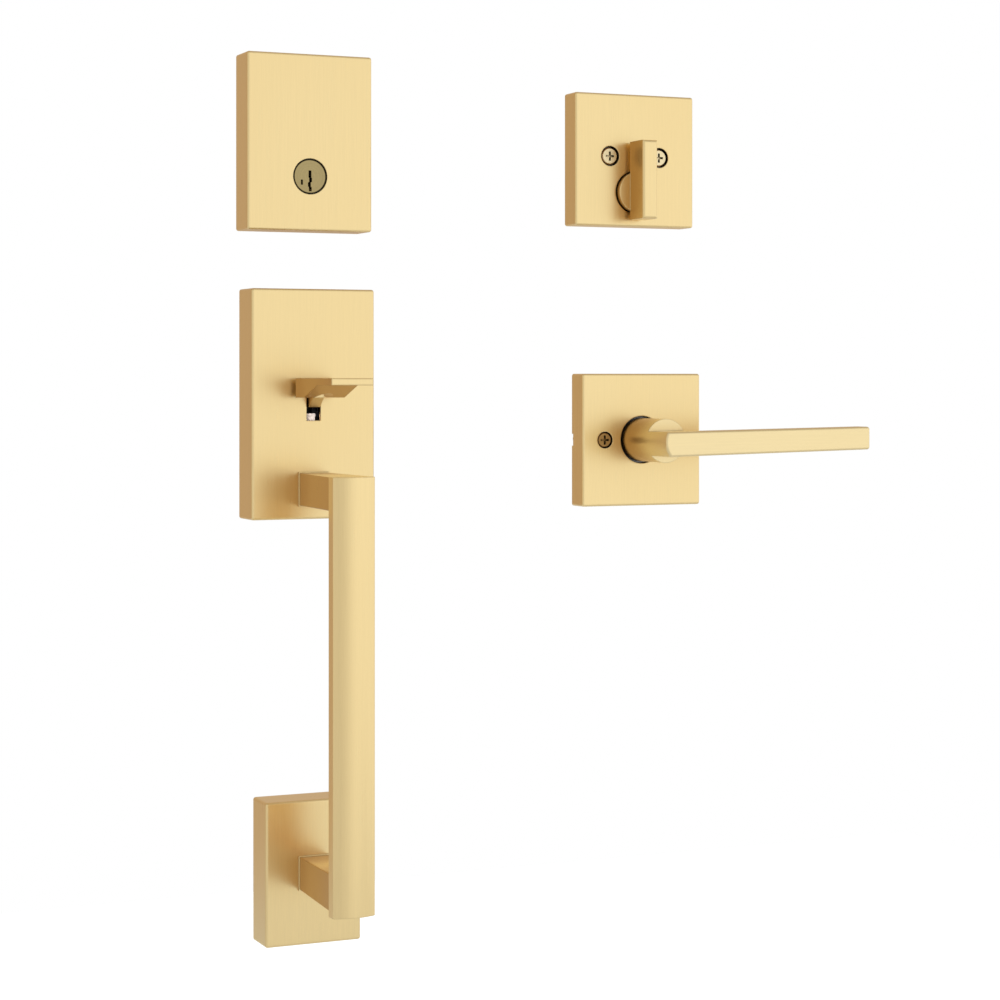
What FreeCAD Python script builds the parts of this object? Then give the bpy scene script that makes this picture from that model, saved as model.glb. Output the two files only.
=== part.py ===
import FreeCAD, Part
import math
import os
import re
import Sketcher

# Entry door handleset, in millimetres.
# The door face is the plane Y = 0. The trim stands out towards -Y, and +Z is up.
# The origin is the centre of the upper escutcheon's back, on the door face.

doc = FreeCAD.newDocument("EntryHandleset")
sheet = doc.addObject("Spreadsheet::Sheet", "Sizes")

SIZES = (
    # Layout of the four units on the door face
    ("deadbolt_across", -1.1),
    ("deadbolt_rise", 122.9),
    ("turn_rise", 120.95),
    ("lever_drop", 18.75),
    ("turn_column", 172.35),
    ("lever_column", 176.25),
    # Cover plates
    ("deadbolt_wide", 61.8),
    ("deadbolt_tall", 83.0),
    ("deadbolt_depth", 17.0),
    ("upper_wide", 60.9),
    ("upper_tall", 108.0),
    ("lower_wide", 47.1),
    ("lower_tall", 67.6),
    ("escutcheon_depth", 18.6),
    ("rose_size", 66.0),
    ("rose_depth", 12.1),
    ("side_wall", 2.2),
    ("face_wall", 2.0),
    ("corner_radius", 1.2),
    ("edge_radius", 1.1),
    # Clearances
    ("seat_gap", 0.3),
    ("running_gap", 0.05),
    ("thrust_gap", 0.1),
    ("press_gap", 0.02),
    # How far a boss starts inside its plate, and how far a cut runs past its solid
    ("root_lap", 0.5),
    ("overcut", 1.0),
    # Mounting plates behind the covers
    ("backplate", 2.0),
    # Deadbolt mechanism; its axis is set from the lower edges of the cover and the rose
    ("plug_axis_height", 25.5),
    ("turn_axis_height", 17.0),
    ("bolt_screw_rise", 17.8),
    ("bolt_screw_spacing", 27.5),
    ("post_radius", 4.0),
    ("post_reach", 22.0),
    ("post_bore", 2.1),
    ("post_bore_depth", 16.0),
    ("plug_head_radius", 8.0),
    ("plug_hole_play", 0.45),
    ("plug_recess", 0.4),
    ("plug_head_length", 6.2),
    ("plug_radius", 6.4),
    ("plug_tail", 0.8),
    ("barrel_wall", 4.35),
    ("barrel_reach", 14.0),
    ("tower_wide", 11.0),
    ("tower_tall", 16.5),
    ("keyway_wide", 1.4),
    ("keyway_top", 2.8),
    ("keyway_shoulder", 0.6),
    ("keyway_waist", 2.7),
    ("keyway_foot", 4.9),
    ("keyway_bottom", 7.0),
    ("keyway_jog", 0.3),
    ("keyway_slope", 0.2),
    ("keyway_rim", 0.6),
    ("keyway_depth", 22.0),
    ("reset_slot_wide", 1.0),
    ("reset_slot_tall", 2.4),
    ("reset_slot_across", 4.0),
    ("reset_slot_drop", 2.8),
    ("clip_thickness", 1.0),
    ("clip_gap", 0.2),
    ("clip_groove_depth", 1.0),
    ("clip_overhang", 2.4),
    ("plug_clip_overhang", 1.8),
    ("tailpiece_wide", 6.0),
    ("tailpiece_thick", 2.6),
    ("tailpiece_chamfer", 1.1),
    ("tailpiece_reach", 58.0),
    ("tailpiece_disc", 1.4),
    # Pull grip
    ("bar_wide", 20.2),
    ("bar_top_height", 21.7),
    ("bar_length", 197.5),
    ("bar_front", 72.8),
    ("bar_flat", 5.4),
    ("bar_crown", 2.6),
    ("bar_edge_radius", 0.6),
    ("standoff_wide", 14.4),
    ("standoff_tall", 15.2),
    ("standoff_lip", 0.5),
    ("standoff_lip_deep", 0.9),
    ("standoff_edge_radius", 0.4),
    ("lower_standoff_tall", 17.0),
    ("lower_standoff_rise", 2.6),
    ("grip_screw_radius", 3.0),
    ("grip_screw_grip", 12.0),
    ("grip_head_radius", 5.2),
    ("grip_head_tall", 3.5),
    ("grip_socket_radius", 2.9),
    ("grip_socket_deep", 2.2),
    ("stud_radius", 2.5),
    ("stud_shoulder", 2.0),
    ("stud_reach", 26.0),
    ("nut_across_corners", 13.0),
    ("nut_tall", 4.0),
    # Thumb piece and its slot
    ("thumb_wide", 20.1),
    ("thumb_top", 12.1),
    ("thumb_front", 71.0),
    ("thumb_pad", 3.2),
    ("thumb_root_gap", 3.5),
    ("thumb_root_tall", 9.0),
    ("thumb_root_end", 33.2),
    ("thumb_slope_end", 51.1),
    ("thumb_scoop_radius", 7.0),
    ("thumb_scoop_deep", 2.0),
    ("thumb_edge_radius", 0.5),
    ("tongue_wide", 5.6),
    ("tongue_above_scoop", 1.5),
    ("tongue_lap", 1.0),
    ("tongue_long", 3.9),
    ("tongue_foot", 3.3),
    ("knee_out", 1.0),
    ("knee_drop", 1.5),
    ("slot_wide", 7.0),
    ("slot_top", 9.6),
    ("slot_bottom", 7.8),
    ("pivot_depth", 7.6),
    ("pivot_rise", 2.0),
    ("pivot_pin_radius", 1.5),
    ("pivot_pin_proud", 0.4),
    ("eye_ahead", 3.4),
    ("eye_crest", 1.0),
    ("eye_rise", 3.6),
    ("eye_behind", 2.6),
    ("eye_back_rise", 3.0),
    ("tail_end", 3.4),
    ("tail_top", 0.3),
    ("tail_bottom", 1.4),
    ("tail_step", 0.2),
    ("tail_slope", 1.6),
    ("tail_slope_rise", 0.9),
    ("ear_thick", 2.3),
    ("ear_ahead", 2.6),
    ("ear_below", 3.0),
    ("ear_above", 5.0),
    ("ear_brow", 2.0),
    ("arm_clear", 1.5),
    ("shelf_rise", 2.8),
    ("shelf_tall", 5.0),
    ("access_play", 1.0),
    # Lift slider and its spring
    ("slider_wide", 14.0),
    ("slider_thick", 3.7),
    ("slider_bridge", 2.8),
    ("slider_window", 7.2),
    ("slider_window_bottom", 8.0),
    ("slider_bottom", 22.0),
    ("nose_wide", 5.6),
    ("nose_top", 4.5),
    ("nose_tall", 3.3),
    ("nose_recess", 5.9),
    ("web_setback", 2.4),
    ("web_below", 2.0),
    ("web_inset", 0.5),
    ("rail_wide", 2.0),
    ("rail_end", 2.0),
    ("rail_lip", 0.9),
    ("ledge_rim", 1.5),
    ("ledge_tall", 2.0),
    ("spring_radius", 2.1),
    ("spring_wire", 0.35),
    ("spring_turns", 5.0),
    ("spring_tall", 9.6),
    ("spring_end_gap", 0.05),
    # Latch drive behind the upper escutcheon and the lever
    ("latch_drop", 16.4),
    ("hub_journal", 6.0),
    ("hub_flange", 9.0),
    ("hub_flange_thick", 1.8),
    ("hub_gap", 0.15),
    ("crank_radius", 4.0),
    ("crank_pin_radius", 1.3),
    ("crank_rest_angle", 14.5),
    ("crank_slot_play", 0.5),
    ("crank_slot_gap", 0.15),
    ("drive_radius", 3.6),
    ("drive_reach", 40.0),
    ("drive_flat", 0.9),
    ("drive_flat_start", 3.0),
    ("latch_screw_spacing", 41.0),
    ("post_flange_radius", 5.5),
    ("post_flange_thick", 1.5),
    ("post_spigot_radius", 3.0),
    ("post_rivet_radius", 4.2),
    ("post_rivet_thick", 1.2),
    ("upper_post_reach", 18.0),
    # Thumbturn
    ("turn_disc_radius", 10.1),
    ("turn_hole_radius", 10.7),
    ("turn_disc_proud", 3.2),
    ("turn_journal_radius", 8.0),
    ("turn_blade_thick", 8.2),
    ("turn_blade_front", 29.1),
    ("turn_blade_up", 24.9),
    ("turn_blade_down", 13.9),
    ("turn_blade_edge", 1.3),
    ("turn_bearing_radius", 13.4),
    ("journal_tail", 3.0),
    ("coupler_radius", 5.0),
    ("coupler_flange", 1.5),
    ("coupler_length", 11.0),
    ("coupler_flange_inset", 1.0),
    ("coupler_play", 0.4),
    # Screws of the roses
    ("rose_screw_radius", 2.5),
    ("turn_screw_reach", 34.0),
    ("lever_screw_reach", 20.0),
    ("rose_screw_head_tall", 2.6),
    ("rose_screw_edge_tall", 2.1),
    ("rose_screw_crown", 0.5),
    ("rose_screw_recess", 0.4),
    ("rose_screw_play", 0.25),
    ("screw_neck_step", 0.3),
    ("screw_neck_end", 1.0),
    ("screw_point", 0.8),
    ("screw_boss_rim", 0.6),
    ("turn_screw_head", 4.2),
    ("turn_screw_hole", 5.0),
    ("lever_screw_head", 3.7),
    ("lever_screw_hole", 4.2),
    ("recess_long", 4.6),
    ("recess_wide", 1.1),
    ("recess_deep", 1.6),
    # Lever
    ("lever_hub_radius", 10.8),
    ("lever_hole_radius", 11.9),
    ("lever_hub_end", 38.0),
    ("lever_front", 58.9),
    ("lever_length", 104.4),
    ("lever_root_tall", 12.0),
    ("lever_root_sink", 1.1),
    ("lever_tip_tall", 11.4),
    ("lever_tip_rise", 0.8),
    ("lever_root_thick", 11.4),
    ("lever_tip_thick", 9.6),
    ("lever_edge_radius", 1.1),
    ("lever_corner_radius", 1.4),
    ("spindle_square", 7.6),
    ("spindle_play", 0.1),
    ("spindle_inside", 22.0),
    ("spindle_end_gap", 0.4),
    ("spindle_reach", 44.0),
    ("set_screw_radius", 2.5),
    ("set_screw_from_face", 18.0),
    ("set_screw_length", 6.2),
    ("set_socket_radius", 1.4),
    ("set_socket_deep", 2.4),
    ("cage_radius", 14.8),
    ("cage_wall", 1.2),
    ("cage_opening", 9.2),
    ("lever_spring_radius", 11.0),
    ("lever_spring_wire", 0.7),
    ("lever_spring_turns", 2.0),
    ("lever_spring_pitch", 1.7),
    ("notch_tall", 5.9),
    ("notch_deep", 1.3),
)
ALIASES = {alias for alias, number in SIZES}

for row, (alias, number) in enumerate(SIZES, 1):
    sheet.set("A%d" % row, alias)
    sheet.set("B%d" % row, str(number))
    sheet.setAlias("B%d" % row, alias)
doc.recompute()

# Places that several pieces share
FACE_INNER = "(escutcheon_depth - face_wall)"
ROSE_INNER = "(rose_depth - face_wall)"
COVER_INNER = "(deadbolt_depth - face_wall)"
PIVOT_Y = "-(escutcheon_depth - pivot_depth)"
DEADBOLT_DROP = "(deadbolt_tall / 2 - plug_axis_height)"
TURN_DROP = "(rose_size / 2 - turn_axis_height)"
PLUG_Z = f"(deadbolt_rise - {DEADBOLT_DROP})"
TURN_Z = f"(turn_rise - {TURN_DROP})"
BAR_TOP_DROP = "(upper_tall / 2 - bar_top_height)"
STANDOFF_MIDDLE = f"-({BAR_TOP_DROP} + standoff_tall / 2)"
BAR_BOTTOM = f"-({BAR_TOP_DROP} + bar_length)"
BAR_BACK = "(bar_front - bar_flat)"
LOWER_STANDOFF_BOTTOM = f"({BAR_BOTTOM} + lower_standoff_rise)"
LOWER_STANDOFF_MIDDLE = f"({LOWER_STANDOFF_BOTTOM} + standoff_tall / 2)"
SLIDER_BACK = "-(backplate + seat_gap)"
SLIDER_FRONT = "-(backplate + seat_gap + slider_thick)"
BRIDGE_BOTTOM = "(tail_top + seat_gap)"
BRIDGE_TOP = f"({BRIDGE_BOTTOM} + slider_bridge)"
SPRING_Y = "-(backplate + seat_gap + spring_radius + spring_wire)"
SPRING_LEDGE = f"({BRIDGE_TOP} + spring_tall)"
CRANK_X = "(crank_radius * cos(crank_rest_angle * 1 deg))"
CRANK_Z = "-(latch_drop + crank_radius * sin(crank_rest_angle * 1 deg))"
SCREW_SEAT = "-(rose_depth - rose_screw_recess - rose_screw_head_tall)"
DISC_BACK = f"-({ROSE_INNER} - thrust_gap)"
EAR_INSIDE = "(tongue_wide / 2 + seat_gap)"
EAR_OUTSIDE = "(tongue_wide / 2 + seat_gap + ear_thick)"


def bound(expression):
    """The expression with every size written as a cell of the sheet."""
    def cell(match):
        word = match.group()
        return "Sizes." + word if word in ALIASES else word
    return re.sub(r"[a-z_]+", cell, expression)


def value(expression):
    return float(sheet.evalExpression(expression))


def bind(thing, place, expression):
    thing.setExpression(place, bound(expression))


def put(thing, x, y, z):
    """Place a sub-part; x, y and z are expressions of the sheet's sizes."""
    for axis, expression in (("x", x), ("y", y), ("z", z)):
        bind(thing, "Placement.Base." + axis, expression)


def new_body(label, x="0", y="0", z="0"):
    body = doc.addObject("PartDesign::Body", label)
    body.Label = label
    put(body, x, y, z)
    return body


def new_sketch(body, name, plane, offset="0"):
    """A sketch on one of the body's own origin planes, moved along its normal by offset."""
    sketch = body.newObject("Sketcher::SketchObject", body.Label + "_" + name)
    support = [f for f in body.Origin.OriginFeatures if f.Role == plane][0]
    sketch.AttachmentSupport = [(support, "")]
    sketch.MapMode = "FlatFace"
    bind(sketch, "AttachmentOffset.Base.z", offset)
    return sketch


def hold(sketch, kind, geometry, point, expression):
    """Hold one coordinate of a point at an expression."""
    index = sketch.addConstraint(Sketcher.Constraint(kind, -1, 1, geometry, point, value(expression)))
    bind(sketch, "Constraints[%d]" % index, expression)


def polygon(sketch, corners):
    """A closed outline through corners, each a pair of expressions."""
    places = [FreeCAD.Vector(value(across), value(up), 0) for across, up in corners]
    first = sketch.GeometryCount
    count = len(corners)
    for i in range(count):
        sketch.addGeometry(Part.LineSegment(places[i], places[(i + 1) % count]), False)
    for i in range(count):
        sketch.addConstraint(Sketcher.Constraint("Coincident", first + i, 2, first + (i + 1) % count, 1))
    for i, (across, up) in enumerate(corners):
        hold(sketch, "DistanceX", first + i, 1, across)
        hold(sketch, "DistanceY", first + i, 1, up)


def rectangle(sketch, left, bottom, right, top):
    polygon(sketch, ((left, bottom), (right, bottom), (right, top), (left, top)))


def centred(sketch, wide, tall, up="0"):
    rectangle(sketch, f"-({wide}) / 2", f"{up} - ({tall}) / 2", f"({wide}) / 2", f"{up} + ({tall}) / 2")


def circle(sketch, radius, across="0", up="0"):
    centre = FreeCAD.Vector(value(across), value(up), 0)
    index = sketch.addGeometry(Part.Circle(centre, FreeCAD.Vector(0, 0, 1), value(radius)), False)
    size = sketch.addConstraint(Sketcher.Constraint("Radius", index, value(radius)))
    bind(sketch, "Constraints[%d]" % size, radius)
    hold(sketch, "DistanceX", index, 3, across)
    hold(sketch, "DistanceY", index, 3, up)


def feature(body, kind, name, sketch, length=None, towards_front=True):
    """A pad or pocket of one sketch."""
    made = body.newObject("PartDesign::" + kind, body.Label + "_" + name)
    made.Profile = sketch
    bind(made, "Length", length)
    made.Reversed = not towards_front if kind == "Pad" else towards_front
    return made


def pad_front(body, name, start, length, draw):
    """A pad of an XZ outline, from start in front of the door face towards the front."""
    sketch = new_sketch(body, name + "_outline", "XZ_Plane", start)
    draw(sketch)
    return feature(body, "Pad", name, sketch, length)


def pocket_front(body, name, start, length, draw):
    """A pocket of an XZ outline, cut from start in front of the door face towards the front."""
    sketch = new_sketch(body, name + "_outline", "XZ_Plane", start)
    draw(sketch)
    return feature(body, "Pocket", name, sketch, length)


def pad_across(body, name, wide, corners, middle="0"):
    """A pad of a YZ outline, as wide as given, about X = middle."""
    sketch = new_sketch(body, name + "_outline", "YZ_Plane", f"{middle} - ({wide}) / 2")
    polygon(sketch, corners)
    return feature(body, "Pad", name, sketch, wide)


def turned(body, name, corners):
    """A solid turned about Y; corners are pairs of radius and Y."""
    sketch = new_sketch(body, name + "_profile", "XY_Plane")
    polygon(sketch, corners)
    made = body.newObject("PartDesign::Revolution", body.Label + "_" + name)
    made.Profile = sketch
    made.ReferenceAxis = (sketch, ["V_Axis"])
    made.Angle = 360
    return made


def steps(*stations):
    """The corners of a turned solid from its rings, each (radius, start Y, end Y), front to back."""
    corners = [("0", stations[0][1])]
    for radius, start, end in stations:
        corners.append((radius, start))
        corners.append((radius, end))
    corners.append(("0", stations[-1][2]))
    return corners


def ring(body, name, inner, outer, start, end):
    """A flat ring about Y."""
    return turned(body, name, ((inner, start), (outer, start), (outer, end), (inner, end)))


def rounded(body, name, radius, choose):
    """Fillet the edges that choose picks from the body's shape so far."""
    doc.recompute()
    base = body.Tip
    names = ["Edge%d" % (i + 1) for i, edge in enumerate(base.Shape.Edges) if choose(edge)]
    made = body.newObject("PartDesign::Fillet", body.Label + "_" + name)
    made.Base = (base, names)
    bind(made, "Radius", radius)
    return made


def lies(edge, low=None, high=None):
    """True if the edge's box lies within the limits given for some axes."""
    box = edge.BoundBox
    lows = (box.XMin, box.YMin, box.ZMin)
    highs = (box.XMax, box.YMax, box.ZMax)
    slack = 0.01
    for axis, limit in (low or {}).items():
        if lows[axis] < limit - slack:
            return False
    for axis, limit in (high or {}).items():
        if highs[axis] > limit + slack:
            return False
    return True


def straight(edge, axis):
    """True if the edge is a straight line along the axis."""
    if edge.Curve.TypeId != "Part::GeomLine":
        return False
    direction = edge.Curve.Direction
    return abs(abs((direction.x, direction.y, direction.z)[axis]) - 1) < 1e-6


def cover_shell(label, wide, tall, depth, x="0", z="0"):
    """A cast cover: a block with rounded corners and front edge, hollow from the back."""
    body = new_body(label, x, "0", z)
    pad_front(body, "block", "0", depth, lambda s: centred(s, wide, tall))
    rounded(body, "corners", "corner_radius", lambda e: straight(e, 1))
    front = -value(depth)
    rounded(body, "front_edge", "edge_radius", lambda e: lies(e, {1: front}, {1: front}))
    inner_wide = f"{wide} - 2 * side_wall"
    inner_tall = f"{tall} - 2 * side_wall"
    pocket_front(body, "hollow", "0", f"{depth} - face_wall", lambda s: centred(s, inner_wide, inner_tall))
    return body


def cover_hole(body, name, depth, draw):
    """An opening through the face of a cover."""
    pocket_front(body, name, f"{depth} - face_wall - overcut", "face_wall + 2 * overcut", draw)


def back_plate(body, wide, tall):
    """The plate that fits in the mouth of a cover, flush with its rim."""
    inner_wide = f"{wide} - 2 * side_wall - 2 * seat_gap"
    inner_tall = f"{tall} - 2 * side_wall - 2 * seat_gap"
    pad_front(body, "plate", "0", "backplate", lambda s: centred(s, inner_wide, inner_tall))


def through(body, name, radius, across="0", up="0", start="-overcut", length="rose_depth"):
    """A round hole along Y."""
    pocket_front(body, name, start, length, lambda s: circle(s, radius, across, up))


def cross_recess(body, start):
    """The cross recess in a screw's head, cut from start towards the back."""
    a, b = "recess_long / 2", "recess_wide / 2"
    arms = ((a, b), (b, b), (b, a), (f"-{b}", a), (f"-{b}", b), (f"-{a}", b),
            (f"-{a}", f"-{b}"), (f"-{b}", f"-{b}"), (f"-{b}", f"-{a}"),
            (b, f"-{a}"), (b, f"-{b}"), (a, f"-{b}"))
    sketch = new_sketch(body, "recess_outline", "XZ_Plane", start)
    polygon(sketch, arms)
    return feature(body, "Pocket", "recess", sketch, "recess_deep", towards_front=False)


def pan_screw(label, x, z, head, seat, head_tall, shank, end):
    """A pan-head screw along Y, head to the front; seat is the Y under its head."""
    body = new_body(label, x, "0", z)
    rim = f"{seat} - rose_screw_edge_tall"
    top = f"{seat} - {head_tall}"
    neck = f"{shank} - screw_neck_step"
    turned(body, "screw", (("0", top), (f"{head} - rose_screw_crown", top), (head, rim), (head, seat),
                           (neck, seat), (neck, "screw_neck_end"),
                           (shank, "screw_neck_end + screw_neck_step"), (shank, f"{end} - screw_point"),
                           (f"{shank} - screw_point", end), ("0", end)))
    cross_recess(body, f"-({top})")
    return body


def coil(label, radius, wire, pitch, tall, x, y, z, lying=False):
    """A coil of eight-sided wire that starts at its placement and rises along Z, or along -Y when lying."""
    path = doc.addObject("Part::Helix", label + "_path")
    bind(path, "Radius", radius)
    bind(path, "Pitch", pitch)
    bind(path, "Height", tall)
    section = doc.addObject("Part::RegularPolygon", label + "_wire")
    section.Polygon = 8
    bind(section, "Circumradius", wire)
    bind(section, "Placement.Base.x", radius)
    section.Placement.Rotation = FreeCAD.Rotation(FreeCAD.Vector(1, 0, 0), 90)
    made = doc.addObject("Part::Sweep", label)
    made.Label = label
    made.Sections = [section]
    made.Spine = (path, ["Edge1"])
    made.Solid = True
    made.Frenet = True
    if lying:
        made.Placement.Rotation = FreeCAD.Rotation(FreeCAD.Vector(1, 0, 0), 90)
    put(made, x, y, z)
    return made


# Outside deadbolt


def deadbolt_cover():
    body = cover_shell("deadbolt_cover", "deadbolt_wide", "deadbolt_tall", "deadbolt_depth",
                       "deadbolt_across", "deadbolt_rise")
    cover_hole(body, "plug_hole", "deadbolt_depth",
               lambda s: circle(s, "plug_head_radius + plug_hole_play", "0", f"-{DEADBOLT_DROP}"))
    return body


def cylinder_housing():
    body = new_body("cylinder_housing", "deadbolt_across", "0", "deadbolt_rise")
    back_plate(body, "deadbolt_wide", "deadbolt_tall")
    front = f"{COVER_INNER} - seat_gap"
    barrel = "plug_radius + barrel_wall"
    long = f"barrel_reach + {front}"
    axis = f"-{DEADBOLT_DROP}"
    pad_front(body, "barrel", "-barrel_reach", long, lambda s: circle(s, barrel, "0", axis))
    pad_front(body, "pin_tower", "-barrel_reach", long,
              lambda s: rectangle(s, "-tower_wide / 2", axis, "tower_wide / 2", f"{axis} + tower_tall"))
    for side, sign in (("left", "-"), ("right", "")):
        across = sign + "bolt_screw_spacing / 2"
        pad_front(body, "post_" + side, "-post_reach", "post_reach",
                  lambda s: circle(s, "post_radius", across, f"{axis} + bolt_screw_rise"))
        pocket_front(body, "tapped_" + side, "-post_reach", "post_bore_depth",
                     lambda s: circle(s, "post_bore", across, f"{axis} + bolt_screw_rise"))
    pocket_front(body, "plug_bore", "-barrel_reach - overcut", f"{long} + 2 * overcut",
                 lambda s: circle(s, "plug_radius + running_gap", "0", axis))
    head_back = "deadbolt_depth - plug_recess - plug_head_length - seat_gap"
    pocket_front(body, "head_bore", head_back, "plug_head_length",
                 lambda s: circle(s, "plug_head_radius + running_gap", "0", axis))
    return body


PLUG_FACE = "-(deadbolt_depth - plug_recess)"
CLIP_FRONT = "barrel_reach + clip_gap"
CLIP_BACK = f"({CLIP_FRONT} + clip_thickness)"
PLUG_END = f"({CLIP_BACK} + plug_tail)"


def keyway(body, name, bottom, depth):
    """The key slot, cut from the plug's face: a narrow slot that jogs from side to side on its way down."""
    sketch = new_sketch(body, name + "_outline", "XZ_Plane", f"-({PLUG_FACE})")
    stations = (("0", "keyway_top"), ("keyway_jog", "-keyway_shoulder"), ("-keyway_jog", "-keyway_waist"),
                ("keyway_jog / 2", "-keyway_foot"), ("", bottom))
    right, left = [], []
    for (shift, top), (next_shift, end) in zip(stations, stations[1:]):
        start = top if top == "keyway_top" else f"{top} - keyway_slope"
        stop = end if end == bottom else f"{end} + keyway_slope"
        right += [(f"{shift} + keyway_wide / 2", start), (f"{shift} + keyway_wide / 2", stop)]
        left += [(f"{shift} - keyway_wide / 2", start), (f"{shift} - keyway_wide / 2", stop)]
    polygon(sketch, right + left[::-1])
    feature(body, "Pocket", name, sketch, depth, towards_front=False)


def key_plug():
    body = new_body("key_plug", "deadbolt_across", "0", PLUG_Z)
    head_back = f"{PLUG_FACE} + plug_head_length"
    turned(body, "turned", steps(("plug_head_radius", PLUG_FACE, head_back),
                                 ("plug_radius", head_back, CLIP_FRONT),
                                 ("plug_radius - clip_groove_depth", CLIP_FRONT, CLIP_BACK),
                                 ("plug_radius", CLIP_BACK, PLUG_END)))
    keyway(body, "keyway_mouth", "-keyway_bottom", "plug_head_length - face_wall")
    keyway(body, "keyway", "-(plug_radius - keyway_rim)", "keyway_depth")
    sketch = new_sketch(body, "reset_outline", "XZ_Plane", f"-({PLUG_FACE})")
    rectangle(sketch, "-reset_slot_across - reset_slot_wide / 2", "-reset_slot_drop - reset_slot_tall / 2",
              "-reset_slot_across + reset_slot_wide / 2", "-reset_slot_drop + reset_slot_tall / 2")
    feature(body, "Pocket", "reset_slot", sketch, "plug_head_length / 2", towards_front=False)
    return body


def plug_retainer():
    body = new_body("plug_retainer", "deadbolt_across", "0", PLUG_Z)
    ring(body, "clip", "plug_radius - clip_groove_depth", "plug_radius + plug_clip_overhang",
         CLIP_FRONT, CLIP_BACK)
    return body


def blade_outline(sketch):
    """The half-round section of a drive blade: flat below, chamfered above."""
    wide, thick = "tailpiece_wide / 2", "tailpiece_thick / 2"
    shoulder, crown = f"{thick} - tailpiece_chamfer", f"({wide} - tailpiece_chamfer)"
    polygon(sketch, ((f"-{wide}", f"-{thick}"), (wide, f"-{thick}"), (wide, shoulder), (crown, thick),
                     (f"-{crown}", thick), (f"-{wide}", shoulder)))


def tailpiece():
    body = new_body("tailpiece", "deadbolt_across", "0", PLUG_Z)
    turned(body, "disc", steps(("plug_radius - seat_gap", PLUG_END, f"{PLUG_END} + tailpiece_disc")))
    pad_front(body, "blade", "-tailpiece_reach", f"tailpiece_reach - {PLUG_END}", blade_outline)
    return body


# Outside handle


def upper_escutcheon():
    body = cover_shell("upper_escutcheon", "upper_wide", "upper_tall", "escutcheon_depth")
    cover_hole(body, "thumb_slot", "escutcheon_depth",
               lambda s: rectangle(s, "-slot_wide / 2", "-slot_bottom", "slot_wide / 2", "slot_top"))
    cover_hole(body, "grip_hole", "escutcheon_depth",
               lambda s: circle(s, "grip_screw_radius + running_gap", "0", STANDOFF_MIDDLE))
    return body


def lower_escutcheon():
    body = cover_shell("lower_escutcheon", "lower_wide", "lower_tall", "escutcheon_depth",
                       z=LOWER_STANDOFF_MIDDLE)
    cover_hole(body, "stud_hole", "escutcheon_depth", lambda s: circle(s, "grip_screw_radius + running_gap"))
    return body


def lofted(body, name, sections):
    """A loft through sketches that are already drawn."""
    made = body.newObject("PartDesign::AdditiveLoft", body.Label + "_" + name)
    made.Profile = sections[0]
    made.Sections = sections[1:]
    made.Ruled = True
    return made


def standoff(body, name, plate_bottom, bar_bottom, bar_tall):
    """A standoff from its escutcheon to the bar, with a thin lip where it meets the plate."""
    lip = "standoff_lip"
    pad_front(body, name + "_lip", "escutcheon_depth", "standoff_lip_deep",
              lambda s: rectangle(s, f"-standoff_wide / 2 - {lip}", f"{plate_bottom} - {lip}",
                                  f"standoff_wide / 2 + {lip}", f"{plate_bottom} + standoff_tall + {lip}"))
    root = new_sketch(body, name + "_root", "XZ_Plane", "escutcheon_depth")
    rectangle(root, "-standoff_wide / 2", plate_bottom,
              "standoff_wide / 2", f"{plate_bottom} + standoff_tall")
    end = new_sketch(body, name + "_end", "XZ_Plane", f"{BAR_BACK} + root_lap")
    rectangle(end, "-bar_wide / 2", bar_bottom, "bar_wide / 2", f"{bar_bottom} + {bar_tall}")
    lofted(body, name, [root, end])
    front, back = -value(BAR_BACK), -value("escutcheon_depth + standoff_lip_deep")
    rounded(body, name + "_edges", "standoff_edge_radius",
            lambda e: abs(e.BoundBox.YMin - front) < 0.01 and abs(e.BoundBox.YMax - back) < 0.01)


def crowned_bar(sketch):
    """The bar's section: flat back and sides, and a crowned front."""
    half = "bar_wide / 2"
    wide, edge, back = value(half), value("-bar_front"), value(f"-{BAR_BACK}")
    radius = "((bar_wide / 2) ^ 2 + bar_crown ^ 2) / (2 * bar_crown)"
    size = value(radius)
    centre = FreeCAD.Vector(0, edge - value("bar_crown") + size, 0)
    sweep = math.asin(wide / size)
    front = Part.ArcOfCircle(Part.Circle(centre, FreeCAD.Vector(0, 0, 1), size),
                             -math.pi / 2 - sweep, -math.pi / 2 + sweep)
    corners = [FreeCAD.Vector(x, y, 0) for x, y in ((wide, edge), (wide, back), (-wide, back), (-wide, edge))]
    for corner, next_corner in zip(corners, corners[1:]):
        sketch.addGeometry(Part.LineSegment(corner, next_corner), False)
    sketch.addGeometry(front, False)
    for i in range(3):
        sketch.addConstraint(Sketcher.Constraint("Coincident", i, 2, i + 1, 1))
    sketch.addConstraint(Sketcher.Constraint("Coincident", 3, 2, 0, 1))
    hold(sketch, "DistanceX", 0, 1, half)
    hold(sketch, "DistanceY", 0, 1, "-bar_front")
    hold(sketch, "DistanceX", 1, 1, half)
    hold(sketch, "DistanceY", 1, 1, f"-{BAR_BACK}")
    hold(sketch, "DistanceX", 2, 1, f"-{half}")
    hold(sketch, "DistanceY", 2, 1, f"-{BAR_BACK}")
    hold(sketch, "DistanceX", 3, 1, f"-{half}")
    hold(sketch, "DistanceY", 3, 1, "-bar_front")
    index = sketch.addConstraint(Sketcher.Constraint("Radius", 3, size))
    bind(sketch, "Constraints[%d]" % index, radius)


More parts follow.
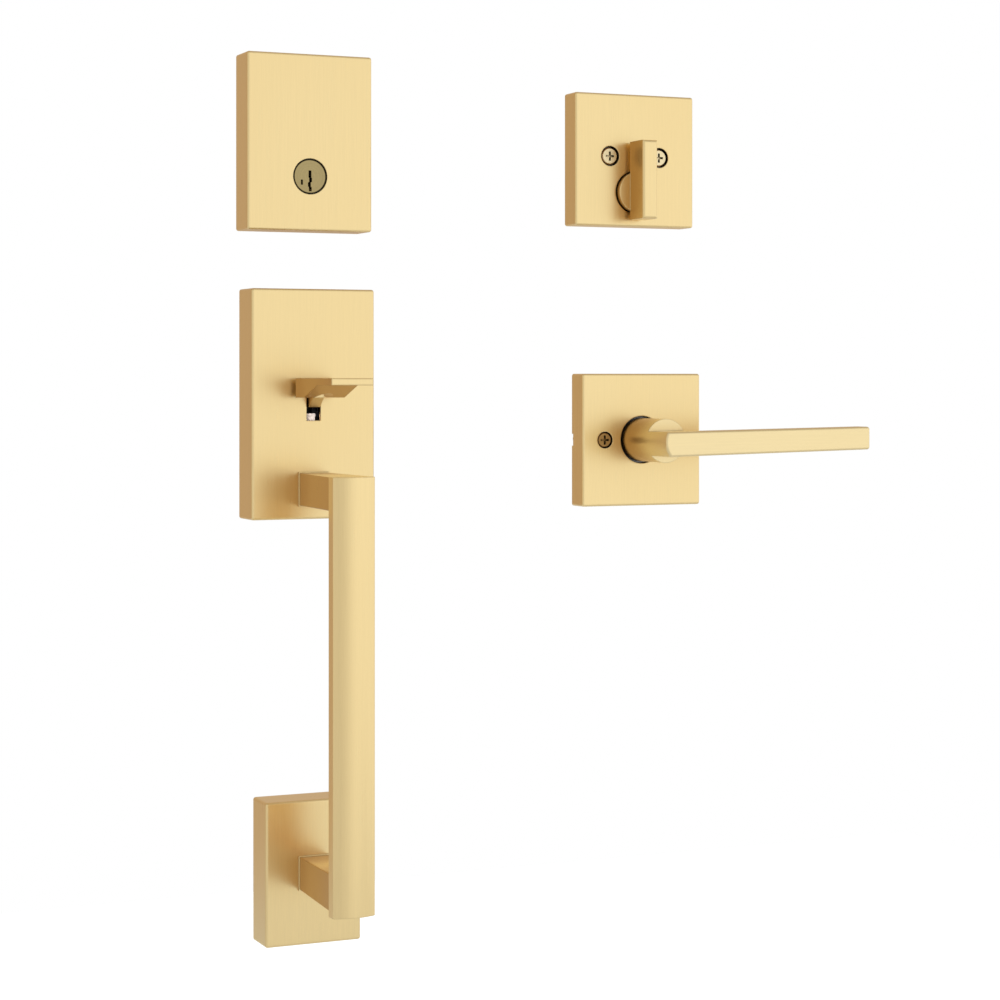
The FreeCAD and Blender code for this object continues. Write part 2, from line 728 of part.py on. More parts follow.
def pull_handle():
    body = new_body("pull_handle")
    section = new_sketch(body, "bar_section", "XY_Plane", BAR_BOTTOM)
    crowned_bar(section)
    feature(body, "Pad", "bar", section, "bar_length")
    front = -value("bar_front")
    rounded(body, "bar_edges", "bar_edge_radius", lambda e: straight(e, 2) and lies(e, {}, {1: front}))
    upper_bottom = f"-({BAR_TOP_DROP} + standoff_tall)"
    standoff(body, "upper_standoff", upper_bottom, upper_bottom, "standoff_tall")
    standoff(body, "lower_standoff", LOWER_STANDOFF_BOTTOM, LOWER_STANDOFF_BOTTOM, "lower_standoff_tall")
    for name, middle in (("upper", STANDOFF_MIDDLE), ("lower", LOWER_STANDOFF_MIDDLE)):
        pocket_front(body, name + "_thread", "escutcheon_depth - overcut", "grip_screw_grip + 2 * overcut",
                     lambda s: circle(s, "grip_screw_radius + press_gap", "0", middle))
    return body


THUMB_BOTTOM = "(thumb_top - thumb_root_tall)"
ROOT_BACK = "-(escutcheon_depth + thumb_root_gap)"


def thumb_piece():
    body = new_body("thumb_piece")
    pad_bottom = "thumb_top - thumb_pad"
    pad_across(body, "pad", "thumb_wide",
               ((ROOT_BACK, "thumb_top"), (ROOT_BACK, THUMB_BOTTOM),
                ("-thumb_root_end", THUMB_BOTTOM), ("-thumb_slope_end", pad_bottom),
                ("-thumb_front", pad_bottom), ("-thumb_front", "thumb_top")))
    scoop = f"{THUMB_BOTTOM} + thumb_scoop_deep - thumb_scoop_radius"
    pocket_front(body, "scoop", "escutcheon_depth", "thumb_slope_end - escutcheon_depth",
                 lambda s: circle(s, "thumb_scoop_radius", "0", scoop))
    front = -value("thumb_front")
    rounded(body, "front_edges", "thumb_edge_radius", lambda e: lies(e, {}, {1: front}))
    tongue_top = f"{THUMB_BOTTOM} + thumb_scoop_deep + tongue_above_scoop"
    pad_across(body, "tongue", "tongue_wide",
               ((f"{ROOT_BACK} - tongue_lap", tongue_top), (f"{ROOT_BACK} - tongue_long", tongue_top),
                (f"{ROOT_BACK} - tongue_foot", THUMB_BOTTOM),
                ("-(escutcheon_depth + knee_out)", "-knee_drop"),
                (f"{PIVOT_Y} - eye_ahead", "-tail_bottom"),
                ("-tail_end", "-tail_bottom"), ("-tail_end", "tail_top"),
                (f"{SLIDER_FRONT} - tail_step", "tail_top"),
                (f"{SLIDER_FRONT} - tail_slope", "tail_top + tail_slope_rise"),
                (f"{PIVOT_Y} + eye_behind", "pivot_rise + eye_back_rise"),
                (f"{PIVOT_Y} - eye_crest", "pivot_rise + eye_rise")))
    sketch = new_sketch(body, "pin_hole_outline", "YZ_Plane", "-tongue_wide / 2 - overcut")
    circle(sketch, "pivot_pin_radius + running_gap", PIVOT_Y, "pivot_rise")
    feature(body, "Pocket", "pin_hole", sketch, "tongue_wide + 2 * overcut")
    return body


def thumb_pin():
    body = new_body("thumb_pin")
    sketch = new_sketch(body, "outline", "YZ_Plane", f"-{EAR_OUTSIDE} - pivot_pin_proud")
    circle(sketch, "pivot_pin_radius", PIVOT_Y, "pivot_rise")
    feature(body, "Pad", "pin", sketch, f"2 * ({EAR_OUTSIDE} + pivot_pin_proud)")
    return body


def support_bracket():
    body = new_body("support_bracket")
    back_plate(body, "upper_wide", "upper_tall")
    ear_front = f"{PIVOT_Y} - ear_ahead"
    arm_back = f"{SLIDER_FRONT} - arm_clear"
    arm_bottom = "pivot_rise - ear_below"
    root = "-backplate + root_lap"
    shelf = f"{BRIDGE_TOP} + shelf_rise"
    shelf_top = f"{shelf} + shelf_tall"
    middle = f"({EAR_INSIDE} + ear_thick / 2)"
    inside, outside = "(slider_wide / 2 + seat_gap)", "(slider_wide / 2 + seat_gap + rail_wide)"
    ear = ((root, shelf_top), (root, shelf), (arm_back, shelf), (arm_back, arm_bottom),
           (ear_front, arm_bottom), (ear_front, "pivot_rise + ear_above"),
           (f"{PIVOT_Y} + ear_brow", shelf_top))
    rail_long = "root_lap + seat_gap + slider_thick + rail_lip"
    rail_bottom, rail_top = "-slider_bottom - rail_end", f"{BRIDGE_TOP} + rail_end"
    for side, sign, left, right in (("left", "-", f"-{outside}", f"-{inside}"),
                                    ("right", "", inside, outside)):
        pad_across(body, "ear_" + side, "ear_thick", ear, sign + middle)
        pad_front(body, "rail_" + side, "backplate - root_lap", rail_long,
                  lambda s: rectangle(s, left, rail_bottom, right, rail_top))
    pad_front(body, "spring_ledge", "backplate - root_lap", "2 * (spring_radius + spring_wire) + ledge_rim",
              lambda s: rectangle(s, "-spring_radius - ledge_rim", SPRING_LEDGE, "spring_radius + ledge_rim",
                                  f"{SPRING_LEDGE} + ledge_tall"))
    sketch = new_sketch(body, "pin_hole_outline", "YZ_Plane", f"-{EAR_OUTSIDE} - overcut")
    circle(sketch, "pivot_pin_radius + press_gap", PIVOT_Y, "pivot_rise")
    feature(body, "Pocket", "pin_hole", sketch, f"2 * ({EAR_OUTSIDE} + overcut)")
    plate_cut = "backplate + 2 * overcut"
    through(body, "hub_hole", "hub_journal + running_gap", "0", "-latch_drop", length=plate_cut)
    through(body, "access_hole", "grip_head_radius + access_play", "0", STANDOFF_MIDDLE, length=plate_cut)
    for side, sign in (("left", "-"), ("right", "")):
        through(body, "post_hole_" + side, "post_spigot_radius + running_gap",
                sign + "latch_screw_spacing / 2", "-latch_drop", length=plate_cut)
    return body


def lift_slider():
    body = new_body("lift_slider")
    start = "backplate + seat_gap"
    pad_front(body, "blade", start, "slider_thick",
              lambda s: rectangle(s, "-slider_wide / 2", "-slider_bottom", "slider_wide / 2", BRIDGE_TOP))
    blade_front = f"({start} + slider_thick)"
    nose = f"escutcheon_depth - nose_recess - {blade_front} + root_lap"
    pad_front(body, "nose", f"{blade_front} - root_lap", nose,
              lambda s: rectangle(s, "-nose_wide / 2", "-nose_top - nose_tall", "nose_wide / 2", "-nose_top"))
    pad_front(body, "nose_web", f"{blade_front} - root_lap", f"{nose} - web_setback",
              lambda s: rectangle(s, "-nose_wide / 2", "-slider_window_bottom - web_below", "nose_wide / 2",
                                  "-nose_top - web_inset"))
    pocket_front(body, "window", "backplate", "seat_gap + slider_thick + overcut",
                 lambda s: rectangle(s, "-slider_window / 2", "-nose_top",
                                     "slider_window / 2", BRIDGE_BOTTOM))
    slot = "(crank_pin_radius + crank_slot_gap)"
    slot_long = f"({slot} + crank_slot_play)"
    pocket_front(body, "crank_slot", "backplate", "seat_gap + slider_thick + overcut",
                 lambda s: rectangle(s, f"{CRANK_X} - {slot_long}", f"{CRANK_Z} - {slot}",
                                     f"{CRANK_X} + {slot_long}", f"{CRANK_Z} + {slot}"))
    return body


def drive_hub():
    body = new_body("drive_hub", z="-latch_drop")
    turned(body, "hub", steps(("hub_journal", "-(backplate - thrust_gap)", "hub_gap"),
                              ("hub_flange", "hub_gap", "hub_gap + hub_flange_thick")))
    pad_front(body, "crank_pin", "backplate - thrust_gap - root_lap", "slider_thick",
              lambda s: circle(s, "crank_pin_radius", CRANK_X, f"{CRANK_Z} + latch_drop"))
    return body


def drive_spindle():
    body = new_body("drive_spindle", z="-latch_drop")
    start = "(hub_gap + hub_flange_thick)"
    pad_front(body, "bar", "-drive_reach", f"drive_reach - {start}", lambda s: circle(s, "drive_radius"))
    side = "(drive_radius + overcut)"
    pocket_front(body, "flat", "-drive_reach - overcut",
                 f"drive_reach - {start} - drive_flat_start + overcut",
                 lambda s: rectangle(s, f"-{side}", "drive_flat", side, side))
    return body


def upper_post(side, sign):
    body = new_body("upper_post_" + side, sign + "latch_screw_spacing / 2", "0", "-latch_drop")
    turned(body, "post", steps(("post_rivet_radius", "-(backplate + post_rivet_thick)", "-backplate"),
                               ("post_spigot_radius", "-backplate", "0"),
                               ("post_flange_radius", "0", "post_flange_thick"),
                               ("post_radius", "post_flange_thick", "upper_post_reach")))
    through(body, "tapped", "post_bore", start="-upper_post_reach", length="post_bore_depth")
    return body


def upper_grip_screw():
    seat = f"-{FACE_INNER}"
    body = new_body("upper_grip_screw", z=STANDOFF_MIDDLE)
    tip = "-(escutcheon_depth + grip_screw_grip)"
    turned(body, "screw", steps(("grip_screw_radius", tip, seat),
                                ("grip_head_radius", seat, f"{seat} + grip_head_tall")))
    sketch = new_sketch(body, "socket_outline", "XZ_Plane", f"{FACE_INNER} - grip_head_tall")
    polygon(sketch, hexagon("grip_socket_radius"))
    feature(body, "Pocket", "socket", sketch, "grip_socket_deep")
    return body


def hexagon(radius):
    """The corners of a hexagon with two corners on the X axis."""
    half, rise = f"{radius} / 2", f"{radius} * sqrt(3) / 2"
    return ((radius, "0"), (half, rise), (f"-{half}", rise), (f"-{radius}", "0"), (f"-{half}", f"-{rise}"),
            (half, f"-{rise}"))


def lower_stud():
    body = new_body("lower_stud", z=LOWER_STANDOFF_MIDDLE)
    tip = "-(escutcheon_depth + grip_screw_grip)"
    turned(body, "stud", steps(("grip_screw_radius", tip, "-stud_shoulder"),
                               ("stud_radius", "-stud_shoulder", "stud_reach")))
    return body


def lower_nut():
    body = new_body("lower_nut", z=LOWER_STANDOFF_MIDDLE)
    back = f"{FACE_INNER} - nut_tall"
    pad_front(body, "nut", back, "nut_tall", lambda s: polygon(s, hexagon("nut_across_corners / 2")))
    through(body, "thread", "grip_screw_radius + press_gap",
            start=f"{back} - overcut", length="nut_tall + 2 * overcut")
    return body


# Inside deadbolt


def rose(label, column, rise, hub_hole, hub_up, screw_hole, spacing, screw_up):
    """A square rose with its hub hole and two screw holes."""
    body = cover_shell(label, "rose_size", "rose_size", "rose_depth", column, rise)
    cover_hole(body, "hub_hole", "rose_depth", lambda s: circle(s, hub_hole, "0", hub_up))
    for side, sign in (("left", "-"), ("right", "")):
        cover_hole(body, "screw_hole_" + side, "rose_depth",
                   lambda s: circle(s, screw_hole, f"{sign}{spacing} / 2", screw_up))
    return body


def turn_rose():
    return rose("turn_rose", "turn_column", "turn_rise", "turn_hole_radius", f"-{TURN_DROP}",
                "turn_screw_hole", "bolt_screw_spacing", f"bolt_screw_rise - {TURN_DROP}")


def rose_plate(label, column, rise, spacing, screw_up, boss_radius):
    """The mounting plate inside a rose, with a boss under each screw head."""
    body = new_body(label, column, "0", rise)
    back_plate(body, "rose_size", "rose_size")
    for side, sign in (("left", "-"), ("right", "")):
        across = f"{sign}{spacing} / 2"
        pad_front(body, "boss_" + side, "backplate - root_lap", f"-{SCREW_SEAT} - backplate + root_lap",
                  lambda s: circle(s, boss_radius, across, screw_up))
        through(body, "screw_hole_" + side, "rose_screw_radius + rose_screw_play", across, screw_up)
    return body


def turn_plate():
    body = rose_plate("turn_plate", "turn_column", "turn_rise", "bolt_screw_spacing",
                      f"bolt_screw_rise - {TURN_DROP}", "turn_screw_head + screw_boss_rim")
    front = f"{ROSE_INNER} - thrust_gap - seat_gap"
    pad_front(body, "bearing", "backplate - root_lap", f"{front} - backplate + root_lap",
              lambda s: circle(s, "turn_bearing_radius", "0", f"-{TURN_DROP}"))
    through(body, "bearing_bore", "turn_journal_radius + running_gap", "0", f"-{TURN_DROP}")
    return body


RING_FRONT = "clip_gap"
RING_BACK = "clip_gap + clip_thickness"


def journal(radius):
    """The rings of a bearing journal with its clip groove, as turned about Y."""
    return ((radius, DISC_BACK, RING_FRONT), (f"{radius} - clip_groove_depth", RING_FRONT, RING_BACK),
            (radius, RING_BACK, "journal_tail"))


def clip_ring(label, column, rise):
    body = new_body(label, column, "0", rise)
    ring(body, "ring", "turn_journal_radius - clip_groove_depth", "turn_journal_radius + clip_overhang",
         RING_FRONT, RING_BACK)
    return body


DISC_FRONT = "-(rose_depth + turn_disc_proud)"


def turn_knob():
    body = new_body("turn_knob", "turn_column", "0", TURN_Z)
    turned(body, "hub", steps(("turn_disc_radius", DISC_FRONT, DISC_BACK), *journal("turn_journal_radius")))
    blade_back = "rose_depth + turn_disc_proud - root_lap"
    pad_front(body, "blade", blade_back, f"turn_blade_front - ({blade_back})",
              lambda s: rectangle(s, "-turn_blade_thick / 2", "-turn_blade_down", "turn_blade_thick / 2",
                                  "turn_blade_up"))
    front = -value("turn_blade_front")
    rounded(body, "blade_front", "turn_blade_edge", lambda e: lies(e, {}, {1: front}))
    return body


def turn_coupler():
    body = new_body("turn_coupler", "turn_column", "0", TURN_Z)
    flange_back = "journal_tail + coupler_flange"
    sleeve_back = "journal_tail + coupler_length"
    turned(body, "sleeve", steps(("turn_journal_radius - coupler_flange_inset", "journal_tail", flange_back),
                                 ("coupler_radius", flange_back, sleeve_back)))
    pocket_front(body, "socket", f"-({sleeve_back} + overcut)", "coupler_length",
                 lambda s: centred(s, "tailpiece_wide + coupler_play", "tailpiece_thick + coupler_play"))
    return body


def rose_screw(label, column, sign, spacing, rise, head, reach):
    return pan_screw(label, f"{column} {sign} {spacing} / 2", rise, head, SCREW_SEAT, "rose_screw_head_tall",
                     "rose_screw_radius", reach)


# Inside lever


def lever_rose():
    body = rose("lever_rose", "lever_column", "-lever_drop", "lever_hole_radius", "0", "lever_screw_hole",
                "latch_screw_spacing", "0")
    pocket_front(body, "pry_notch", "-overcut", "notch_deep + overcut",
                 lambda s: rectangle(s, "-rose_size / 2 - overcut", "-notch_tall / 2",
                                     "-rose_size / 2 + side_wall + seat_gap / 2", "notch_tall / 2"))
    return body


def lever_plate():
    body = rose_plate("lever_plate", "lever_column", "-lever_drop", "latch_screw_spacing", "0",
                      "lever_screw_head + screw_boss_rim")
    through(body, "bearing_bore", "turn_journal_radius + running_gap")
    return body


def spring_cage():
    body = new_body("spring_cage", "lever_column", "0", "-lever_drop")
    front = f"-({ROSE_INNER} - thrust_gap - seat_gap)"
    inner, lip_back = "cage_radius - cage_wall", f"{front} + cage_wall"
    turned(body, "cup", (("cage_opening", front), ("cage_radius", front), ("cage_radius", "-backplate"),
                         (inner, "-backplate"), (inner, lip_back), ("cage_opening", lip_back)))
    return body


def lever_handle():
    """A round hub whose front is cut to a neck as tall as the bar, and the bar that tapers from it."""
    body = new_body("lever_handle", "lever_column", "0", "-lever_drop")
    turned(body, "hub", steps(("lever_hub_radius", "-lever_front", DISC_BACK),
                              *journal("turn_journal_radius")))
    root_top = "(lever_root_tall / 2 - lever_root_sink)"
    root_bottom = "(-lever_root_tall / 2 - lever_root_sink)"
    tip_top = "(lever_tip_tall / 2 + lever_tip_rise)"
    tip_bottom = "(-lever_tip_tall / 2 + lever_tip_rise)"
    past = "(lever_hub_radius + overcut)"
    for name, root, tip, far in (("above", root_top, tip_top, past),
                                 ("below", root_bottom, tip_bottom, f"-{past}")):
        slope = f"({tip} - {root}) / lever_length * {past}"
        outline = ((f"-{past}", far), (f"-{past}", f"{root} - {slope}"),
                   (past, f"{root} + {slope}"), (past, far))
        pocket_front(body, "neck_" + name, "lever_hub_end", "lever_front - lever_hub_end + overcut",
                     lambda s: polygon(s, outline))
    root = new_sketch(body, "bar_root", "YZ_Plane", "0")
    rectangle(root, "-lever_front", root_bottom, "-(lever_front - lever_root_thick)", root_top)
    tip = new_sketch(body, "bar_tip", "YZ_Plane", "lever_length")
    rectangle(tip, "-lever_front", tip_bottom, "-(lever_front - lever_tip_thick)", tip_top)
    lofted(body, "bar", [root, tip])
    end, front = value("lever_length"), -value("lever_front")
    rounded(body, "tip_corners", "lever_corner_radius", lambda e: straight(e, 1) and lies(e, {0: end}))
    rounded(body, "front_edges", "lever_edge_radius", lambda e: lies(e, {}, {1: front}))
    pocket_front(body, "spindle_socket", "-(journal_tail + overcut)",
                 "journal_tail + overcut + spindle_inside + spindle_end_gap",
                 lambda s: centred(s, "spindle_square + spindle_play", "spindle_square + spindle_play"))
    screw = new_sketch(body, "set_screw_outline", "XY_Plane", "-lever_hub_radius - overcut")
    circle(screw, "set_screw_radius + press_gap", "0", "-set_screw_from_face")
    feature(body, "Pocket", "set_screw_hole", screw, "lever_hub_radius + overcut - spindle_square / 2")
    return body


def lever_spindle():
    body = new_body("lever_spindle", "lever_column", "0", "-lever_drop")
    pad_front(body, "bar", "-spindle_reach", "spindle_reach + spindle_inside",
              lambda s: centred(s, "spindle_square", "spindle_square"))
    return body


def lever_set_screw():
    body = new_body("lever_set_screw", "lever_column", "0", "-lever_drop")
    start = "-(spindle_square / 2 + set_screw_length)"
    sketch = new_sketch(body, "outline", "XY_Plane", start)
    circle(sketch, "set_screw_radius", "0", "-set_screw_from_face")
    feature(body, "Pad", "screw", sketch, "set_screw_length")
    socket = new_sketch(body, "socket_outline", "XY_Plane", start)
    polygon(socket, [(across, f"{up} - set_screw_from_face") for across, up in hexagon("set_socket_radius")])
    feature(body, "Pocket", "socket", socket, "set_socket_deep")
    return body


def build():
    """Every sub-part, unit by unit."""
    made = [deadbolt_cover(), cylinder_housing(), key_plug(), plug_retainer(), tailpiece()]
    made += [upper_escutcheon(), lower_escutcheon(), pull_handle(), thumb_piece(), thumb_pin()]
    made += [support_bracket(), lift_slider(), drive_hub(), drive_spindle(), upper_grip_screw()]
    made += [lower_stud(), lower_nut(), upper_post("left", "-"), upper_post("right", "")]
    coil_tall = "(spring_tall - 2 * spring_wire - 2 * spring_end_gap)"
    made.append(coil("lift_spring", "spring_radius", "spring_wire", f"{coil_tall} / spring_turns", coil_tall,
                     "0", SPRING_Y, f"{BRIDGE_TOP} + spring_wire + spring_end_gap"))
    made += [turn_rose(), turn_plate(), turn_knob(), turn_coupler()]
    made.append(clip_ring("turn_ring", "turn_column", TURN_Z))
    made += [lever_rose(), lever_plate(), spring_cage(), lever_handle(), lever_spindle(), lever_set_screw()]
    made.append(clip_ring("lever_ring", "lever_column", "-lever_drop"))
    made.append(coil("lever_spring", "lever_spring_radius", "lever_spring_wire", "lever_spring_pitch",
                     "lever_spring_pitch * lever_spring_turns", "lever_column",
                     "-(backplate + seat_gap + lever_spring_wire)", "-lever_drop", lying=True))
    for side, sign in (("left", "-"), ("right", "+")):
        made.append(rose_screw("turn_screw_" + side, "turn_column", sign, "bolt_screw_spacing",
                               f"{TURN_Z} + bolt_screw_rise", "turn_screw_head", "turn_screw_reach"))
        made.append(rose_screw("lever_screw_" + side, "lever_column", sign, "latch_screw_spacing",
                               "-lever_drop", "lever_screw_head", "lever_screw_reach"))
    return made


def check(parts):
    """Stop before anything is written if an object failed or a shape is broken."""
    for thing in doc.Objects:
        if "Invalid" in thing.State or "Error" in thing.State:
            raise RuntimeError("%s is %s" % (thing.Label, thing.State))
    for part in parts:
        if part.Shape.isNull() or not part.Shape.isValid():
            raise RuntimeError("%s has a broken shape" % part.Label)
        if len(part.Shape.Solids) != 1:
            raise RuntimeError("%s has %d solids" % (part.Label, len(part.Shape.Solids)))


PARTS = build()
doc.recompute()
check(PARTS)
os.makedirs("parts", exist_ok=True)
for part in PARTS:
    part.Shape.exportStep("parts/%s.step" % part.Label)
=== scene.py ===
import math

import bmesh
import bpy
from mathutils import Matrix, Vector


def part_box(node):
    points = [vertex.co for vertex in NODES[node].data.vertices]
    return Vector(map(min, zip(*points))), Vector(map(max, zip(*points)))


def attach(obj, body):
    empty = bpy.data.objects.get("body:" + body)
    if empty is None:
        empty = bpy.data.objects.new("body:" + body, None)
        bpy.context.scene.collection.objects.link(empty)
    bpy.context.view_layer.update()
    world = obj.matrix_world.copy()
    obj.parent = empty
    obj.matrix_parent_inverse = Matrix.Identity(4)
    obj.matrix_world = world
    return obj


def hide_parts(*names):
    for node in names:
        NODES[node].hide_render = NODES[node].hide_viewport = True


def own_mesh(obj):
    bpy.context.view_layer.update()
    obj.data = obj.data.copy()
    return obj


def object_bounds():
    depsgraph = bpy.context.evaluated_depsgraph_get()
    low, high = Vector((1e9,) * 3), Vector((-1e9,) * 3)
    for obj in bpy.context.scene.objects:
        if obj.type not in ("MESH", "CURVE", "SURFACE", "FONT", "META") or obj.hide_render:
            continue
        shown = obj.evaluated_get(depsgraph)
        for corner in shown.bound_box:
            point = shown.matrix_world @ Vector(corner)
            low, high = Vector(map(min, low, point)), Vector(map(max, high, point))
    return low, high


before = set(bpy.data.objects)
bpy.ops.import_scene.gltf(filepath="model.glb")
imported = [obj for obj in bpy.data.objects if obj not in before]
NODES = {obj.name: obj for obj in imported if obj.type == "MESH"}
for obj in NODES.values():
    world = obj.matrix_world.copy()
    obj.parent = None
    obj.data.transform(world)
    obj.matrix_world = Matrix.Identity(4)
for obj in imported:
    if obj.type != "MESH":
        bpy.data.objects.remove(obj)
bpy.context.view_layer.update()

# Camera: level, to the left of the door's normal, aimed at a point on the door face
CAMERA_TURN = 23.87
CAMERA_POINT = Vector((0.10388, 0.0, 0.01313))
CAMERA_DISTANCE = 1.19504
FOCAL_PIXELS = 2420.62
PICTURE = 1000
PRINCIPAL_ROW = 375.99
SENSOR = 36
CLIP = (0.05, 50)

# Noise scales of the finishes, in cells a metre, across and along the tool's marks
BRUSH_ACROSS = 4200
BRUSH_LENGTHWISE = 95
BRUSH_PATCHES = (16, 16, 11)
RING_ACROSS = 5200
RING_LENGTHWISE = 2600
RING_SPECKS = 900
CLOUD_METAL = 90
MOULD_GRAIN = 2200
CLOUD_PLASTIC = 140

# Radii, in metres, to which shading rounds sharp edges
BRASS_EDGE = 0.0006
PLAIN_EDGE = 0.0004

# Painted shade: how far other surfaces reach to darken a spot's colour, in metres, and the shares of the
# colour that stay there
NEAR_REACH = 0.030
NEAR_SHADE_TONE = (0.60, 0.44, 0.28)
GAP_REACH = 0.003
GAP_SHADE_TONE = (0.25, 0.25, 0.25)
RIM_REACH = 0.0015
RIM_SHADE_TONE = (0.1, 0.1, 0.1)
RECESS_REACH = 0.004
CAVITY_REACH = 0.012
RECESS_SHADE_TONE = (0.08, 0.08, 0.08)
# How much of the painted near shade the sides behind a grip's front keep
INNER_SHADE_SHARE = 0.85

# The plug's centre in X and Z, in metres
PLUG_CENTRE = (-0.0011, 0.1069)
# The Y behind which a piece's sides keep the painted near shade: the grip's, and one for a whole piece
BAR_BACK = -0.0673
WHOLE = -1.0
# How far behind its front the slider is pale; behind that it is painted black as shade
NOSE_LENGTH = 0.0008

# The screws' and the stud's threads: where they start along Y, their pitch and their depth
SCREW_THREAD = (0.008, 0.0009, 0.00035)
STUD_THREAD = (-0.0110, 0.0012, 0.00045)
THREAD_SIDES = 28
THREAD_STEPS = 6

# The studio as metal sees it, by azimuth in degrees, 0 to the front and positive to the right:
# the share of the white surround, and the shade of the rest
NEUTRAL = (0.34, 0.31, 0.27)
WARM = (0.49, 0.355, 0.24)
SURROUND = (
    (-180, 0.2, WARM),
    (-150, 0.0, WARM),
    (-110, 0.0, WARM),
    (-80, 0.60, NEUTRAL),
    (-36, 0.60, NEUTRAL),
    (-22, 0.48, NEUTRAL),
    (-6, 0.62, NEUTRAL),
    (16, 1.0, NEUTRAL),
    (60, 1.0, NEUTRAL),
    (100, 0.85, NEUTRAL),
    (135, 0.2, WARM),
    (180, 0.2, WARM),
)
# Overhead the white surround falls off between these heights, as the upward part of the
# direction, to this share
OVERHEAD = (0.25, 0.7, 0.3)
DIFFUSE_SKY = 0.75
WHITE = (1.0, 1.0, 1.0, 1.0)

# The floor's drop under the set and half its width, in metres, its diffuse grey, and the glow
# that the camera and mirrored rays see
FLOOR_DROP = 0.20
FLOOR_HALF = 1.0
FLOOR_GREY = 0.60
FLOOR_SEEN = 0.75
FLOOR_MIRRORED = 0.15

# The lamps: place, size in metres, power in watts and spread in degrees
LAMP_AIM = (0.1, 0, -0.03)
LAMPS = {
    "key": ((1.0, -1.5, 1.3), 1.2, 5, 180),
    "front": ((-0.55, -1.3, 0.1), 0.6, 1.6, 40),
}


def srgb(red, green, blue):
    """Display colour, 0 to 255, as linear values."""
    out = []
    for value in (red, green, blue):
        value /= 255
        out.append(value / 12.92 if value <= 0.04045 else ((value + 0.055) / 1.055) ** 2.4)
    return (*out, 1.0)


def scaled(colour, *shares, lift=0.0):
    """The colour times one share, or one each for red, green and blue, plus a lift; at most 1."""
    if len(shares) == 1:
        shares = shares * 3
    return (*(min(part * share + lift, 1.0) for part, share in zip(colour, shares)), 1.0)


BRASS = srgb(249, 224, 166)
BRASS_LEVER = srgb(249, 228, 176)
PLUG_METAL = srgb(180, 162, 114)
SCREW_BRIGHT = srgb(244, 226, 182)
SCREW_DULL = srgb(186, 152, 98)
ZINC = srgb(172, 172, 170)
STEEL = srgb(196, 196, 192)
NOSE_PALE = srgb(234, 219, 208)
# Painted shade: the black of the slider behind its nose, standing for the shade in its slot
SLOT_SHADE_BLACK = srgb(26, 24, 24)
COUPLER_BLACK = srgb(48, 48, 50)


def link(made):
    bpy.context.scene.collection.objects.link(made)
    return made


def make_camera():
    turn = math.radians(CAMERA_TURN)
    forward = Vector((math.sin(turn), math.cos(turn), 0))
    data = bpy.data.cameras.new("camera")
    data.sensor_fit = "HORIZONTAL"
    data.sensor_width = SENSOR
    data.lens = FOCAL_PIXELS / PICTURE * SENSOR
    data.shift_y = -(PICTURE / 2 - PRINCIPAL_ROW) / PICTURE
    data.clip_start, data.clip_end = CLIP
    camera = link(bpy.data.objects.new("camera", data))
    camera.location = CAMERA_POINT - forward * CAMERA_DISTANCE
    camera.rotation_euler = (math.radians(90), 0, -turn)
    bpy.context.scene.camera = camera


class Nodes:
    """The node tree of a material or world, with short ways to add and join nodes."""

    def __init__(self, owner):
        owner.use_nodes = True
        self.tree = owner.node_tree
        self.tree.nodes.clear()

    def add(self, kind, **settings):
        node = self.tree.nodes.new(kind)
        for key, value in settings.items():
            setattr(node, key, value)
        return node

    def join(self, source, target):
        self.tree.links.new(source, target)

    def fill(self, socket, value):
        """Gives a socket a constant, or joins another socket to it."""
        if isinstance(value, (int, float, tuple)):
            socket.default_value = value
        else:
            self.join(value, socket)

    def math(self, operation, first, second=0.0):
        node = self.add("ShaderNodeMath", operation=operation)
        self.fill(node.inputs[0], first)
        self.fill(node.inputs[1], second)
        return node.outputs[0]

    def ramp(self, factor, low, high, out_low=0.0, out_high=1.0):
        node = self.add("ShaderNodeMapRange")
        names = ("Value", "From Min", "From Max", "To Min", "To Max")
        for name, value in zip(names, (factor, low, high, out_low, out_high)):
            self.fill(node.inputs[name], value)
        return node.outputs[0]

    def blend(self, factor, first, second, blend_type="MIX"):
        """A colour between first and second, by a factor."""
        node = self.add("ShaderNodeMix", data_type="RGBA", blend_type=blend_type)
        for name, value in (("Factor", factor), (6, first), (7, second)):
            self.fill(node.inputs[name], value)
        return node.outputs[2]

    def parts(self, vector):
        """The X, Y and Z of a vector socket, by name."""
        node = self.add("ShaderNodeSeparateXYZ")
        self.join(vector, node.inputs[0])
        return node.outputs

    def stops(self, factor, rows):
        """A colour ramp over a factor, from rows of place and colour."""
        node = self.add("ShaderNodeValToRGB")
        self.join(factor, node.inputs[0])
        elements = node.color_ramp.elements
        elements[0].position, elements[1].position = rows[0][0], rows[-1][0]
        for place, colour in rows[1:-1]:
            elements.new(place)
        for element, (place, colour) in zip(elements, rows):
            element.color = (*colour, 1.0)
        return node.outputs[0]


